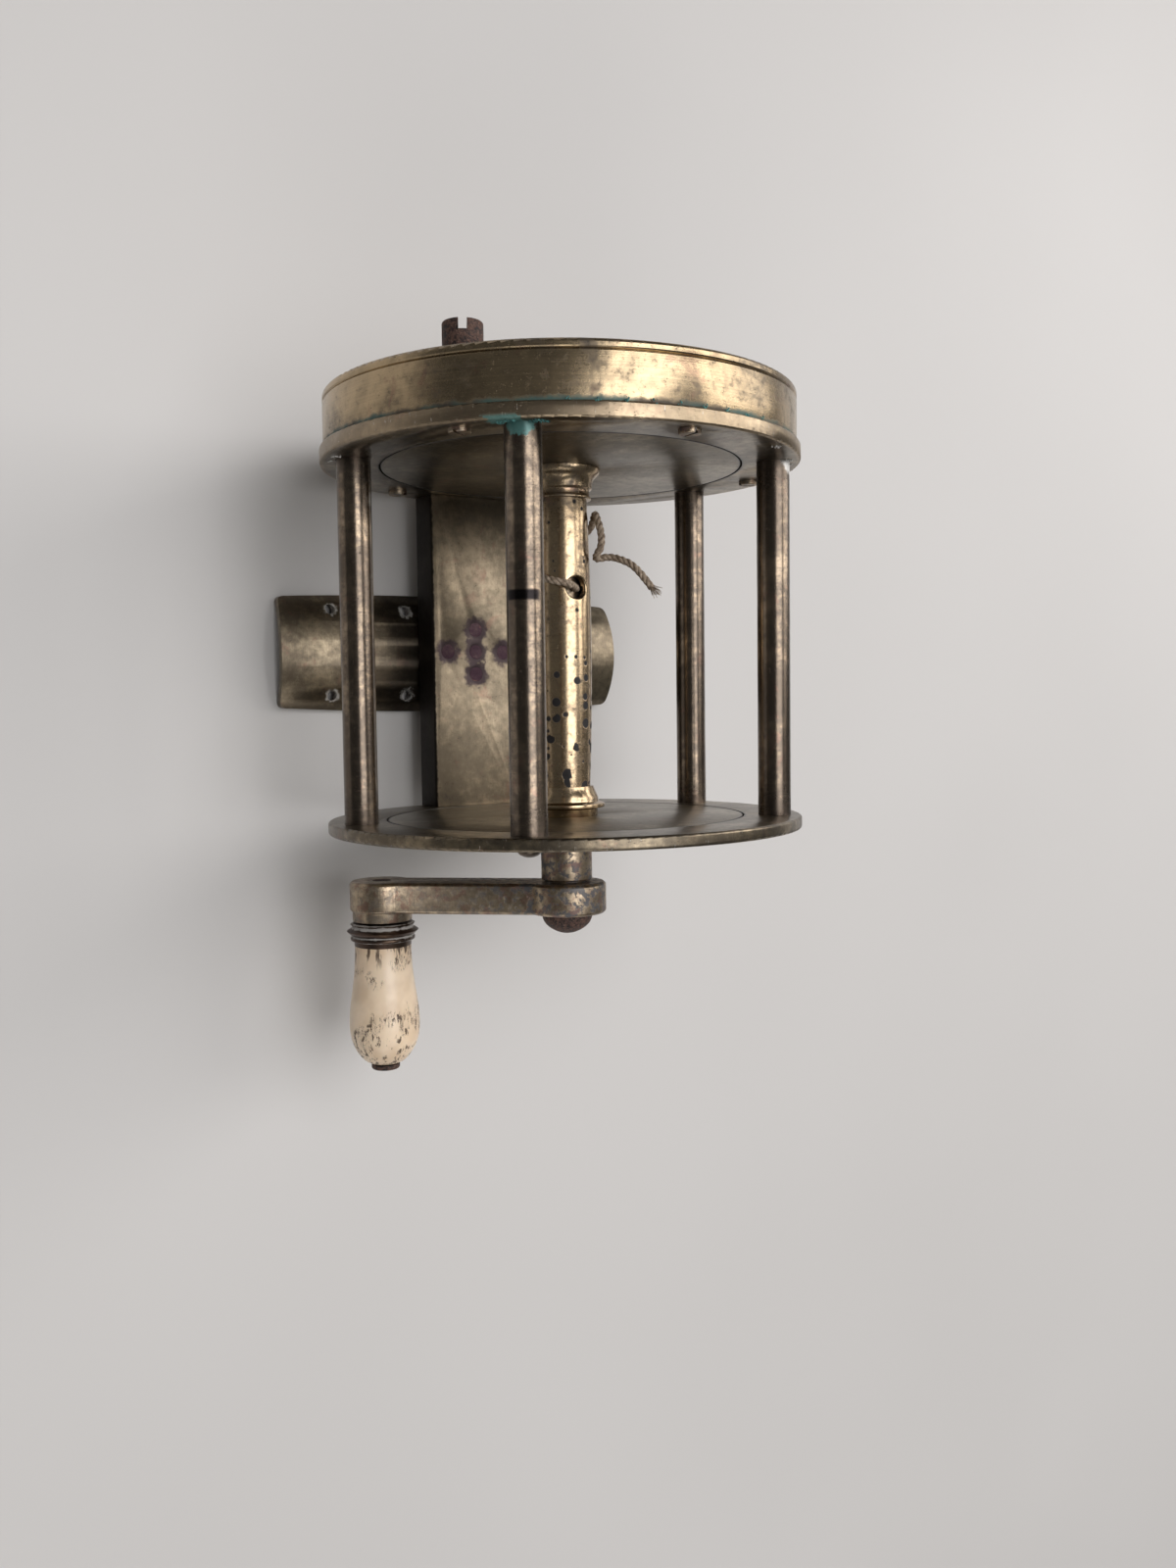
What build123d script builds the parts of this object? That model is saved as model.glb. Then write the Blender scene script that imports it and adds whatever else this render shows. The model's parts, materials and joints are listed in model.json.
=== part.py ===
from build123d import *

import os
from math import atan2, cos, degrees, hypot, radians, sin, sqrt, tan

os.makedirs("parts", exist_ok=True)

# A brass fishing winch: a spool turned by a crank between two round plates on four pillars,
# with a click check in a drum on the back plate and an arched foot that seats on a rod.
# X runs along the rod, Y along the spindle towards the check, Z up from the foot.
# The origin is the middle of the foot's underside, where its crown meets the rod.

# ---- driving dimensions, mm ---------------------------------------------------------
PLATE_R = 38.0  # both end plates, three inches across
PLATE_GAP = 55.6  # clear width between the plates
BACK_T = 2.3
FRONT_T = 1.9
RECESS_DEPTH = 1.1  # the spool's end flanges run flush inside these recesses
FLANGE_R = 28.6
FLANGE_T = 0.8
RUN = 0.3  # gap between pieces that pass each other
FIT = 0.05  # radial clearance of each running shaft

PILLAR_R = 2.6
PILLAR_CIRCLE = 33.7
PILLAR_PLACES = {  # angle, radius
    "left_low": (-103.4, 33.2),
    "left_high": (-40.1, PILLAR_CIRCLE),
    "right_high": (51.1, PILLAR_CIRCLE),
    "right_low": (105.6, PILLAR_CIRCLE),
}
TENON_R = 1.5
RIVET_HEAD_R = 1.7
RIVET_HEAD_H = 1.2

FOOT_LENGTH = 68.4
FOOT_WIDTH = 21.3
FOOT_END_WIDTH = 19.4
FOOT_T = 1.5
SEAT_R = 15.0  # the rod butt that the foot is bent to
LIP_Z = -3.4
SEAT_HOLE_R = 0.9
SEAT_HOLES_X = (10.2, 24.6)
SEAT_HOLE_Y = 7.6
BLOCK_WIDTH = 17.0
BLOCK_T = 6.1
FOOT_RIVET_R = 1.3
BLOCK_TENON_R = 1.2
BUSH_SPIGOT_R = 3.4
AXIS_Z = FOOT_T + 36.6  # spindle height above the rod seat

CASE_R = 37.4
CASE_WALL = 1.6
CASE_H = 6.9
LID_T = 1.3
LUG_CIRCLE = 34.3
LUG_R = 1.8
LUG_ANGLES = (-155, -55, 0, 80)
CASE_SCREW_R = 1.0

SPINDLE_R = 2.6
NECK_R = 2.2  # the spindle's stepped end, which carries the ratchet
PIN_R = 1.6  # its last journal, in the lid
TANG = 3.4  # its square end, in the crank
ARBOR_R = 4.55
ARBOR_END_R = 4.05
ARBOR_BORE_R = 3.3
LINE_HOLE_R = 1.75
LINE_HOLE_Y = 8.7

TEETH = 24
RATCHET_R = 17.0
RATCHET_ROOT_R = 15.6
RATCHET_T = 1.6
PAWL_ANGLE = -8.5  # where the pawl's nose meets the ratchet
PAWL_ARM = 22.8
PAWL_REACH = 19.5
PAWL_T = 1.4
STUD_R = 2.9
STUD_H = 5.0
SLOT_W, SLOT_DEPTH = 1.2, 1.6
SLOT_TURN = 31.0  # about the stud, counted from the radius through it
PIVOT_R = 1.2

CRANK_ANGLE = -130.0
CRANK_R = 31.2
CRANK_T = 5.1
CRANK_HUB_R = 6.4
CRANK_EYE_R = 5.3
CRANK_EYE_T = 6.6
CRANK_WIDTH = 8.0

TWINE_R = 0.6

# ---- places worked out from them ----------------------------------------------------
BACK = PLATE_GAP / 2  # inner face of the back plate
FRONT = -PLATE_GAP / 2
BACK_OUT = BACK + BACK_T
FRONT_OUT = FRONT - FRONT_T
LID_IN = BACK_OUT + CASE_H
RATCHET_Y = BACK_OUT + 1.9
HUB_IN = LID_IN - 1.8
BUSH_END = FRONT_OUT - 8.6
CRANK_IN = BUSH_END - RUN
CRANK_OUT = CRANK_IN - CRANK_T
EYE_OUT = CRANK_IN - CRANK_EYE_T
SEAT_OUTER_R = SEAT_R + FOOT_T
BLOCK_TOP = FOOT_T + BLOCK_T
PIVOT_CIRCLE = hypot(PAWL_REACH, PAWL_ARM)
PIVOT_ANGLE = PAWL_ANGLE - degrees(atan2(PAWL_ARM, PAWL_REACH))
FOOT_RIVETS = {"middle": (0, 0), "left": (-5.6, 0), "right": (5.6, 0), "back": (0, 4), "front": (0, -4)}
BLOCK_TENONS = [(x, 0, FOOT_T + BLOCK_T / 2) for x in (-5, 5)]

SPINDLE = Axis((0, 0, AXIS_Z), (0, 1, 0))
HALF = Plane.XY.offset(AXIS_Z)  # holds each turned profile as (radius, Y)
UP = (Align.CENTER, Align.CENTER, Align.MIN)


def station(y, angle=0.0, radius=0.0):
    """A plane square to the spindle at Y, at an angle counted from straight up towards +X."""
    a = radians(angle)
    middle = (radius * sin(a), y, AXIS_Z + radius * cos(a))
    return Plane(origin=middle, x_dir=(sin(a), 0, cos(a)), z_dir=(0, 1, 0))


def is_rim(edge):
    """Whether a circular edge lies on the outside of an end plate."""
    return edge.radius > PLATE_R - 0.01


knob_plane = station(0, CRANK_ANGLE, CRANK_R)
KNOB = Axis(knob_plane.origin, (0, 1, 0))
KNOB_HALF = Plane(origin=knob_plane.origin, x_dir=(1, 0, 0), z_dir=(0, 0, 1))

pieces = {}

# ---- the two end plates -------------------------------------------------------------
with BuildPart() as back_plate:
    with Locations(station(BACK)):
        Cylinder(PLATE_R, BACK_T, align=UP)
        Cylinder(FLANGE_R + RUN, RECESS_DEPTH, align=UP, mode=Mode.SUBTRACT)
        Cylinder(BUSH_SPIGOT_R, BACK_T, align=UP, mode=Mode.SUBTRACT)
    with Locations(*[station(BACK, *place) for place in PILLAR_PLACES.values()]):
        Cylinder(TENON_R, BACK_T, align=UP, mode=Mode.SUBTRACT)
    with Locations(*[station(BACK, a, LUG_CIRCLE) for a in LUG_ANGLES]):
        Cylinder(CASE_SCREW_R, BACK_T, align=UP, mode=Mode.SUBTRACT)
    with Locations(station(BACK_OUT - 0.9, PIVOT_ANGLE, PIVOT_CIRCLE)):
        Cylinder(PIVOT_R, 0.9, align=UP, mode=Mode.SUBTRACT)
    with Locations(*BLOCK_TENONS):
        Cylinder(BLOCK_TENON_R, 2 * BACK_OUT, rotation=(90, 0, 0), mode=Mode.SUBTRACT)
    fillet(back_plate.edges().filter_by(GeomType.CIRCLE).filter_by(is_rim), 0.3)
pieces["back_plate"] = back_plate

with BuildPart() as front_plate:
    with Locations(station(FRONT_OUT)):
        Cylinder(PLATE_R, FRONT_T, align=UP)
        Cylinder(BUSH_SPIGOT_R, FRONT_T, align=UP, mode=Mode.SUBTRACT)
    with Locations(station(FRONT - RECESS_DEPTH)):
        Cylinder(FLANGE_R + RUN, RECESS_DEPTH, align=UP, mode=Mode.SUBTRACT)
    with Locations(*[station(FRONT_OUT, *place) for place in PILLAR_PLACES.values()]):
        Cylinder(TENON_R, FRONT_T, align=UP, mode=Mode.SUBTRACT)
    with Locations(*BLOCK_TENONS):
        Cylinder(BLOCK_TENON_R, 2 * BACK_OUT, rotation=(90, 0, 0), mode=Mode.SUBTRACT)
    fillet(front_plate.edges().filter_by(GeomType.CIRCLE).filter_by(is_rim), 0.4)
pieces["front_plate"] = front_plate

# ---- pillars, riveted over at both ends ---------------------------------------------
for name, place in PILLAR_PLACES.items():
    with BuildPart() as pillar:
        with Locations(station(FRONT, *place)):
            Cylinder(PILLAR_R, PLATE_GAP, align=UP)
        with Locations(station(FRONT_OUT, *place)):
            Cylinder(TENON_R, BACK_OUT - FRONT_OUT, align=UP)
        with Locations(station(FRONT_OUT - RIVET_HEAD_H, *place)):
            Cylinder(RIVET_HEAD_R, RIVET_HEAD_H, align=UP)
        with Locations(station(BACK_OUT, *place)):
            Cylinder(RIVET_HEAD_R, 0.8, align=UP)
        fillet(pillar.faces().sort_by(Axis.Y)[0].edges(), 0.6)
    pieces[f"pillar_{name}"] = pillar

# ---- the foot: a block between the plates, and an arched seat riveted under it -------
with BuildPart() as foot_block:
    with Locations((0, 0, FOOT_T + BLOCK_T / 2)):
        Box(BLOCK_WIDTH, PLATE_GAP, BLOCK_T)
    chamfer(foot_block.edges().filter_by(Axis.Y).group_by(Axis.Z)[-1], 0.3)
    with Locations(*[(x, FRONT_OUT, z) for x, y, z in BLOCK_TENONS]):
        Cylinder(BLOCK_TENON_R, BACK_OUT - FRONT_OUT, rotation=(-90, 0, 0), align=UP)
    with Locations(*FOOT_RIVETS.values()):
        Cylinder(FOOT_RIVET_R, 2 * BLOCK_TOP, mode=Mode.SUBTRACT)
pieces["foot_block"] = foot_block

with BuildPart() as foot_saddle:
    with BuildSketch(Plane.YZ.offset(-FOOT_LENGTH / 2)):
        with Locations((0, -SEAT_R)):
            Circle(SEAT_OUTER_R)
            Circle(SEAT_R, mode=Mode.SUBTRACT)
    extrude(amount=FOOT_LENGTH)
    with BuildSketch(Plane.XY.offset(-SEAT_R)) as outline:
        with BuildLine():
            side = ThreePointArc(
                (-FOOT_LENGTH / 2 + 0.5, FOOT_END_WIDTH / 2),
                (0, FOOT_WIDTH / 2),
                (FOOT_LENGTH / 2 - 0.5, FOOT_END_WIDTH / 2),
            )
            end = ThreePointArc(side @ 1, (FOOT_LENGTH / 2, 0), (FOOT_LENGTH / 2 - 0.5, -FOOT_END_WIDTH / 2))
            mirror(side, about=Plane.XZ)
            mirror(end, about=Plane.YZ)
        make_face()
        fillet(outline.vertices(), 1.2)
    extrude(amount=2 * SEAT_R, mode=Mode.INTERSECT)
    with Locations((0, 0, LIP_Z)):  # the lips are filed flat, so that it stands without rocking
        Box(FOOT_LENGTH, 2 * FOOT_WIDTH, 10, align=(Align.CENTER, Align.CENTER, Align.MAX), mode=Mode.SUBTRACT)
    with Locations(*FOOT_RIVETS.values()):
        Cylinder(FOOT_RIVET_R, 4 * FOOT_T, mode=Mode.SUBTRACT)
    with Locations(*[(sx * x, sy * SEAT_HOLE_Y, 0) for x in SEAT_HOLES_X for sx in (-1, 1) for sy in (-1, 1)]):
        Cylinder(SEAT_HOLE_R, 12, mode=Mode.SUBTRACT)
pieces["foot_saddle"] = foot_saddle

for name, (x, y) in FOOT_RIVETS.items():
    with BuildPart() as rivet:
        with Locations((x, y, -2)):
            Cylinder(FOOT_RIVET_R, BLOCK_TOP + 2, align=UP)
        with Locations((x, 0, -SEAT_R)):
            Cylinder(SEAT_R, 4 * FOOT_RIVET_R, rotation=(0, 90, 0), mode=Mode.SUBTRACT)
    pieces[f"foot_rivet_{name}"] = rivet

# ---- the check case on the back plate -----------------------------------------------
with BuildPart() as check_case:
    with Locations(station(BACK_OUT)):
        Cylinder(CASE_R, CASE_H, align=UP)
        Cylinder(CASE_R - CASE_WALL, CASE_H, align=UP, mode=Mode.SUBTRACT)
    with Locations(*[station(BACK_OUT, a, LUG_CIRCLE) for a in LUG_ANGLES]):
        Cylinder(LUG_R, 4.5, align=UP)
        Cylinder(CASE_SCREW_R, 3.5, align=UP, mode=Mode.SUBTRACT)
    chamfer(check_case.faces().sort_by(Axis.Y)[-1].edges().sort_by(SortBy.LENGTH)[-1], 0.25)
pieces["check_case"] = check_case

for number, angle in enumerate(LUG_ANGLES, start=1):
    with BuildPart() as screw:
        with Locations(station(BACK - 0.7, angle, LUG_CIRCLE)):
            Cylinder(1.6, 0.7, align=UP)
            Cylinder(CASE_SCREW_R, 0.7 + BACK_T + 3.0, align=UP)
            Box(4.0, 0.45, 0.7, mode=Mode.SUBTRACT)
        fillet(screw.faces().sort_by(Axis.Y)[0:2].edges().filter_by(GeomType.CIRCLE), 0.2)
    pieces[f"case_screw_{number}"] = screw

with BuildPart() as case_lid:
    with Locations(station(LID_IN)):
        Cylinder(CASE_R, LID_T, align=UP)
    with Locations(station(HUB_IN)):
        Cylinder(4.5, LID_IN - HUB_IN, align=UP)
        Cylinder(PIN_R + FIT, 2.2, align=UP, mode=Mode.SUBTRACT)
    with Locations(station(LID_IN, PIVOT_ANGLE, PIVOT_CIRCLE)):
        Cylinder(PIVOT_R, LID_T, align=UP, mode=Mode.SUBTRACT)
    rim = case_lid.edges().filter_by(GeomType.CIRCLE).sort_by(SortBy.LENGTH)[-2:].sort_by(Axis.Y)
    chamfer(rim[0], 0.25)
    fillet(case_lid.edges().filter_by(GeomType.CIRCLE).sort_by(SortBy.LENGTH)[-2:].sort_by(Axis.Y)[-1], 0.5)
pieces["case_lid"] = case_lid

# ---- bearings -----------------------------------------------------------------------
with BuildPart() as front_bush:
    with Locations(station(BUSH_END)):
        Cylinder(4.15, FRONT_OUT - BUSH_END, align=UP)
        Cylinder(BUSH_SPIGOT_R, FRONT - RECESS_DEPTH - BUSH_END, align=UP)
        Cylinder(SPINDLE_R + FIT, FRONT - BUSH_END, align=UP, mode=Mode.SUBTRACT)
    chamfer(front_bush.faces().sort_by(Axis.Y)[0].edges().sort_by(SortBy.LENGTH)[-1], 0.2)
pieces["front_bush"] = front_bush

with BuildPart() as back_bush:
    with Locations(station(BACK + RECESS_DEPTH)):
        Cylinder(BUSH_SPIGOT_R, BACK_T - RECESS_DEPTH, align=UP)
    with Locations(station(BACK_OUT)):
        Cylinder(4.6, RATCHET_Y - RUN - 0.3 - BACK_OUT, align=UP)
    with Locations(station(BACK)):
        Cylinder(SPINDLE_R + FIT, 8, align=UP, mode=Mode.SUBTRACT)
pieces["back_bush"] = back_bush

# ---- the check: a pawl on a screw pivot, pressed into the ratchet by a leaf spring ----
with BuildPart() as check_pivot_screw:
    with Locations(station(BACK_OUT - 0.9, PIVOT_ANGLE, PIVOT_CIRCLE)):
        Cylinder(PIVOT_R, LID_IN + LID_T - BACK_OUT + 0.9, align=UP)
    with Locations(station(LID_IN + LID_T, PIVOT_ANGLE, PIVOT_CIRCLE)):
        Cylinder(STUD_R, STUD_H, align=UP)
    fillet(check_pivot_screw.faces().sort_by(Axis.Y)[-1].edges(), 0.4)
    slot_floor = station(LID_IN + LID_T + STUD_H - SLOT_DEPTH, PIVOT_ANGLE, PIVOT_CIRCLE)
    with Locations(slot_floor * Rotation(0, 0, SLOT_TURN)):
        Box(2 * STUD_R + 1, SLOT_W, SLOT_DEPTH, align=UP, mode=Mode.SUBTRACT)
pieces["check_pivot_screw"] = check_pivot_screw

with BuildPart() as check_pawl:
    with BuildSketch(station(RATCHET_Y + 0.1, PAWL_ANGLE)):
        with Locations((PAWL_REACH, -PAWL_ARM / 2)):
            Rectangle(2.6, PAWL_ARM)
        with BuildLine():
            Polyline((18.3, -1.6), (RATCHET_R + 0.2, -1.2), (15.95, -0.25), (15.95, 0.25), (RATCHET_R + 0.2, 1.2),
                     (18.3, 1.6), (20.8, 1.2), (20.8, -1.6), close=True)
        make_face()
    extrude(amount=PAWL_T)
    with Locations(station(BACK_OUT + RUN, PIVOT_ANGLE, PIVOT_CIRCLE)):
        Cylinder(2.2, 3.6, align=UP)
        Cylinder(PIVOT_R + FIT, 3.6, align=UP, mode=Mode.SUBTRACT)
pieces["check_pawl"] = check_pawl

SPRING_POST = (27.0, -2.2)
with BuildPart() as spring_post:
    with BuildSketch(station(BACK_OUT, PAWL_ANGLE)):
        with Locations(SPRING_POST):
            Circle(1.3)
    extrude(amount=4.1)
pieces["spring_post"] = spring_post

with BuildPart() as check_spring:
    with BuildSketch(station(RATCHET_Y + 0.2, PAWL_ANGLE)):
        with BuildLine():
            ThreePointArc(SPRING_POST, (25.0, -11.5), (21.75, -19.5))
        trace(line_width=0.4)
        with Locations(SPRING_POST):
            Circle(1.3, mode=Mode.SUBTRACT)
    extrude(amount=1.2)
pieces["check_spring"] = check_spring

# ---- the spool ----------------------------------------------------------------------
with BuildPart() as spindle:
    with Locations(station(CRANK_IN)):
        Cylinder(SPINDLE_R, RATCHET_Y - CRANK_IN, align=UP)
        Cylinder(NECK_R, HUB_IN - RUN - CRANK_IN, align=UP)
        Cylinder(PIN_R, LID_IN - CRANK_IN, align=UP)
    with Locations(station(CRANK_OUT + RUN, CRANK_ANGLE)):
        Box(TANG, TANG, CRANK_T, align=UP)
        Cylinder(1.2, 8.2, align=UP, mode=Mode.SUBTRACT)
pieces["spindle"] = spindle

ARBOR_FRONT = FRONT + 4.8
ARBOR_BACK = BACK - 4.9
with BuildPart() as arbor:
    with BuildSketch(HALF):
        with BuildLine():
            Polyline((ARBOR_END_R, ARBOR_FRONT), (ARBOR_BORE_R, ARBOR_FRONT), (ARBOR_BORE_R, ARBOR_BACK),
                     (ARBOR_END_R, ARBOR_BACK))
            ThreePointArc((ARBOR_END_R, ARBOR_BACK), (ARBOR_R, -2), (ARBOR_END_R, ARBOR_FRONT))
        make_face()
    revolve(axis=SPINDLE)
    with Locations((0, LINE_HOLE_Y, AXIS_Z)):
        Cylinder(LINE_HOLE_R, ARBOR_R + 1, align=UP, mode=Mode.SUBTRACT)
    fillet(arbor.edges().filter_by(lambda e: e.center().Z > AXIS_Z + 4 and e.length < 14), 0.25)
pieces["arbor"] = arbor

with BuildPart() as arbor_collar_front:
    with BuildSketch(HALF):
        with BuildLine():
            Polyline(
                (SPINDLE_R, FRONT), (5.2, FRONT), (5.2, FRONT + 1.2), (6.35, FRONT + 1.4), (6.35, FRONT + 2.0),
                (5.4, FRONT + 2.3), (5.3, FRONT + 3.0), (4.6, FRONT + 4.6), (4.6, ARBOR_FRONT),
                (ARBOR_BORE_R, ARBOR_FRONT), (ARBOR_BORE_R, ARBOR_FRONT + 3), (SPINDLE_R, ARBOR_FRONT + 3), close=True,
            )
        make_face()
    revolve(axis=SPINDLE)
pieces["arbor_collar_front"] = arbor_collar_front

with BuildPart() as arbor_collar_back:
    with BuildSketch(HALF):
        with BuildLine():
            Polyline(
                (SPINDLE_R, BACK), (6.3, BACK), (6.1, BACK - 0.8), (5.2, BACK - 1.7), (4.9, BACK - 2.6),
                (4.9, BACK - 3.2), (4.5, BACK - 3.5), (4.5, BACK - 4.3), (4.75, BACK - 4.5), (4.75, ARBOR_BACK),
                (ARBOR_BORE_R, ARBOR_BACK), (ARBOR_BORE_R, ARBOR_BACK - 3), (SPINDLE_R, ARBOR_BACK - 3), close=True,
            )
        make_face()
    revolve(axis=SPINDLE)
pieces["arbor_collar_back"] = arbor_collar_back

for name, y in (("spool_flange_front", FRONT - FLANGE_T), ("spool_flange_back", BACK)):
    with BuildPart() as flange:
        with Locations(station(y)):
            Cylinder(FLANGE_R, FLANGE_T, align=UP)
            Cylinder(SPINDLE_R, FLANGE_T, align=UP, mode=Mode.SUBTRACT)
    pieces[name] = flange

with BuildPart() as ratchet_wheel:
    with BuildSketch(station(RATCHET_Y, PAWL_ANGLE)):
        teeth = []
        for k in range(2 * TEETH):
            a = radians(k * 180 / TEETH)
            r = RATCHET_R if k % 2 else RATCHET_ROOT_R
            teeth.append((r * cos(a), r * sin(a)))
        with BuildLine():
            Polyline(*teeth, close=True)
        make_face()
        Circle(NECK_R, mode=Mode.SUBTRACT)
        with PolarLocations(9.6, 5):
            Circle(2.6, mode=Mode.SUBTRACT)
    extrude(amount=RATCHET_T)
pieces["ratchet_wheel"] = ratchet_wheel

with BuildPart() as ratchet_nut:
    with BuildSketch(station(RATCHET_Y + RATCHET_T)):
        RegularPolygon(3.5, 6)
        Circle(NECK_R, mode=Mode.SUBTRACT)
    extrude(amount=HUB_IN - RUN - RATCHET_Y - RATCHET_T)
pieces["ratchet_nut"] = ratchet_nut

# ---- the crank ----------------------------------------------------------------------
with BuildPart() as crank_arm:
    with BuildSketch(station(CRANK_OUT, CRANK_ANGLE)):
        Circle(CRANK_HUB_R)
        Rectangle(CRANK_R, CRANK_WIDTH, align=(Align.MIN, Align.CENTER))
        with Locations((CRANK_R, 0)):
            Circle(CRANK_EYE_R)
    extrude(amount=CRANK_T)
    chamfer(crank_arm.faces().filter_by(Axis.Y).edges(), 0.4)
    with Locations(station(EYE_OUT, CRANK_ANGLE, CRANK_R)):
        Cylinder(CRANK_EYE_R - 0.4, CRANK_EYE_T, align=UP)
        Cylinder(1.5, CRANK_EYE_T, align=UP, mode=Mode.SUBTRACT)
    with Locations(station(CRANK_OUT, CRANK_ANGLE)):
        Box(TANG, TANG, CRANK_T, align=UP, mode=Mode.SUBTRACT)
pieces["crank_arm"] = crank_arm

with BuildPart() as crank_screw:
    with BuildSketch(HALF):
        with BuildLine():
            Polyline((0, CRANK_OUT - 3.4), (0, CRANK_OUT + 7.8), (PIVOT_R, CRANK_OUT + 7.8), (PIVOT_R, CRANK_OUT),
                     (4.1, CRANK_OUT), (4.1, CRANK_OUT - 0.6))
            Spline((4.1, CRANK_OUT - 0.6), (2.6, CRANK_OUT - 2.6), (0, CRANK_OUT - 3.4), tangents=[(-0.2, -1), (-1, 0)])
        make_face()
    revolve(axis=SPINDLE)
pieces["crank_screw"] = crank_screw

# ---- the knob: a bone grip and a turned ferrule that spin on an iron pin --------------
FERRULE_TOP = EYE_OUT - RUN
GRIP_TOP = FERRULE_TOP - 3.9
GRIP_END = GRIP_TOP - 19.8
PIN = 1.5
with BuildPart() as knob_ferrule:
    with BuildSketch(KNOB_HALF):
        with BuildLine():
            Polyline(
                (PIN + FIT, FERRULE_TOP), (4.9, FERRULE_TOP), (5.35, FERRULE_TOP - 0.25), (5.0, FERRULE_TOP - 0.6),
                (5.1, FERRULE_TOP - 0.9), (5.95, FERRULE_TOP - 1.4), (5.3, FERRULE_TOP - 2.0), (5.0, FERRULE_TOP - 2.2),
                (5.35, FERRULE_TOP - 2.5), (5.3, FERRULE_TOP - 2.9), (4.7, FERRULE_TOP - 3.1), (4.7, GRIP_TOP),
                (PIN + FIT, GRIP_TOP), close=True,
            )
        make_face()
    revolve(axis=KNOB)
pieces["knob_ferrule"] = knob_ferrule

with BuildPart() as knob_grip:
    with BuildSketch(KNOB_HALF):
        with BuildLine():
            Line((PIN + FIT, GRIP_TOP), (4.65, GRIP_TOP))
            Spline((4.65, GRIP_TOP), (4.85, GRIP_TOP - 4.3), (5.48, GRIP_TOP - 9.1), (5.82, GRIP_TOP - 13.0),
                   (5.4, GRIP_TOP - 16.2), (4.25, GRIP_TOP - 18.4), (2.5, GRIP_END),
                   tangents=[(0, -1), (-1, -0.3)])
            Line((2.5, GRIP_END), (PIN + FIT, GRIP_END))
            Line((PIN + FIT, GRIP_END), (PIN + FIT, GRIP_TOP))
        make_face()
    revolve(axis=KNOB)
pieces["knob_grip"] = knob_grip

with BuildPart() as knob_pin:
    with Locations(station(GRIP_END - RUN, CRANK_ANGLE, CRANK_R)):
        Cylinder(PIN, CRANK_IN - GRIP_END + RUN, align=UP)
    with Locations(station(GRIP_END - RUN - 0.8, CRANK_ANGLE, CRANK_R)):
        Cylinder(2.35, 0.8, align=UP)
    fillet(knob_pin.faces().sort_by(Axis.Y)[0].edges(), 0.35)
pieces["knob_pin"] = knob_pin

# ---- the twine left on the arbor: out of the line hole, three quarters round, then loose -
TWINE = [  # X, Y and height over the spindle
    (0.6, 8.6, 3.1), (-1.5, 9.1, 5.5), (-4.4, 9.7, 3.7), (-5.75, 11.0, -0.3), (-3.9, 12.7, -4.2),
    (0.1, 14.6, -5.75), (4.05, 16.6, -4.1), (5.75, 18.6, -0.2), (5.12, 20.9, 1.83), (4.24, 20.3, 3.77),
    (4.54, 17.3, 4.79), (4.46, 15.2, 4.73), (3.91, 13.9, 3.91), (5.02, 13.5, 2.36), (6.73, 14.0, 3.21),
    (7.94, 13.4, 5.41), (9.59, 12.0, 7.29), (11.26, 8.7, 8.95),
]
route = [Vector(x, y, AXIS_Z + z) for x, y, z in TWINE]
bends = []
for before, here, after in zip(route, route[1:], route[2:]):
    turn = radians((here - before).get_angle(after - here))
    bends.append(0.45 * min((here - before).length, (after - here).length) / tan(turn / 2))
print("twine bend radii", [round(r, 2) for r in bends])

with BuildPart() as twine:
    with BuildLine() as twine_line:
        FilletPolyline(*route, radius=bends)
    with BuildSketch(Plane(origin=twine_line.line @ 0, z_dir=twine_line.line % 0)):
        Circle(TWINE_R)
    sweep()
pieces["twine"] = twine
print("twine length", round(sum(e.length for e in twine_line.edges()), 2), "volume", round(twine.part.volume, 2))

for name, piece in pieces.items():
    piece.part.label = name
    export_step(piece.part, f"parts/{name}.step")
print(len(pieces), "pieces")
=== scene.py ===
# %% [markdown]
# # An old brass fishing reel with a crank
#
# This reel was turned, filed and riveted by hand. Two round end plates are
# held apart by four pillars, a spool with a thin arbor turns between them, and
# a drum on the back plate hides a click check. The shapes and sizes come from
# a finished frame of parts. Blender gives them worn edges, old brass, bone,
# rusty iron and a scrap of twine.

# %% Load the frame of parts
import json
import math
import random

import bmesh
import bpy
from mathutils import Matrix, Vector


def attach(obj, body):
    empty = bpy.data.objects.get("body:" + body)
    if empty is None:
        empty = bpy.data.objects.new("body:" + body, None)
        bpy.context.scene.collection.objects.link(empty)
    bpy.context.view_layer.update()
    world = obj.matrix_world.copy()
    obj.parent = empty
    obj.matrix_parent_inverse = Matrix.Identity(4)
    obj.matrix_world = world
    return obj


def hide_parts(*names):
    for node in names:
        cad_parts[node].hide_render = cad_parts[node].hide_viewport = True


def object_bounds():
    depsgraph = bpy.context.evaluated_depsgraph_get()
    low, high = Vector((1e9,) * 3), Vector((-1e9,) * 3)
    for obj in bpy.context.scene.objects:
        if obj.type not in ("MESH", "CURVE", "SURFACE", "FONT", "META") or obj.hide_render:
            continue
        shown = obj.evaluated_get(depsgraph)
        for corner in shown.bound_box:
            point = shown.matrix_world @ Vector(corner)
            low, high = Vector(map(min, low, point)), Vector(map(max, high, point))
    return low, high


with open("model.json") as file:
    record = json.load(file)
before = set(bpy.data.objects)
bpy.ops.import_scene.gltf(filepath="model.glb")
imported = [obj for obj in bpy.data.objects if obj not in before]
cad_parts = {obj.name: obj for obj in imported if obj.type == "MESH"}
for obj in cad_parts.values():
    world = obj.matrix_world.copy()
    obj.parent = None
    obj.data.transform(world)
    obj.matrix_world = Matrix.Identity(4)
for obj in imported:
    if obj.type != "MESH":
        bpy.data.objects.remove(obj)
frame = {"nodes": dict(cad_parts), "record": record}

cad_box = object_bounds()
MM = 0.001
SPINDLE_HEIGHT = 38.1 * MM
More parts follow.
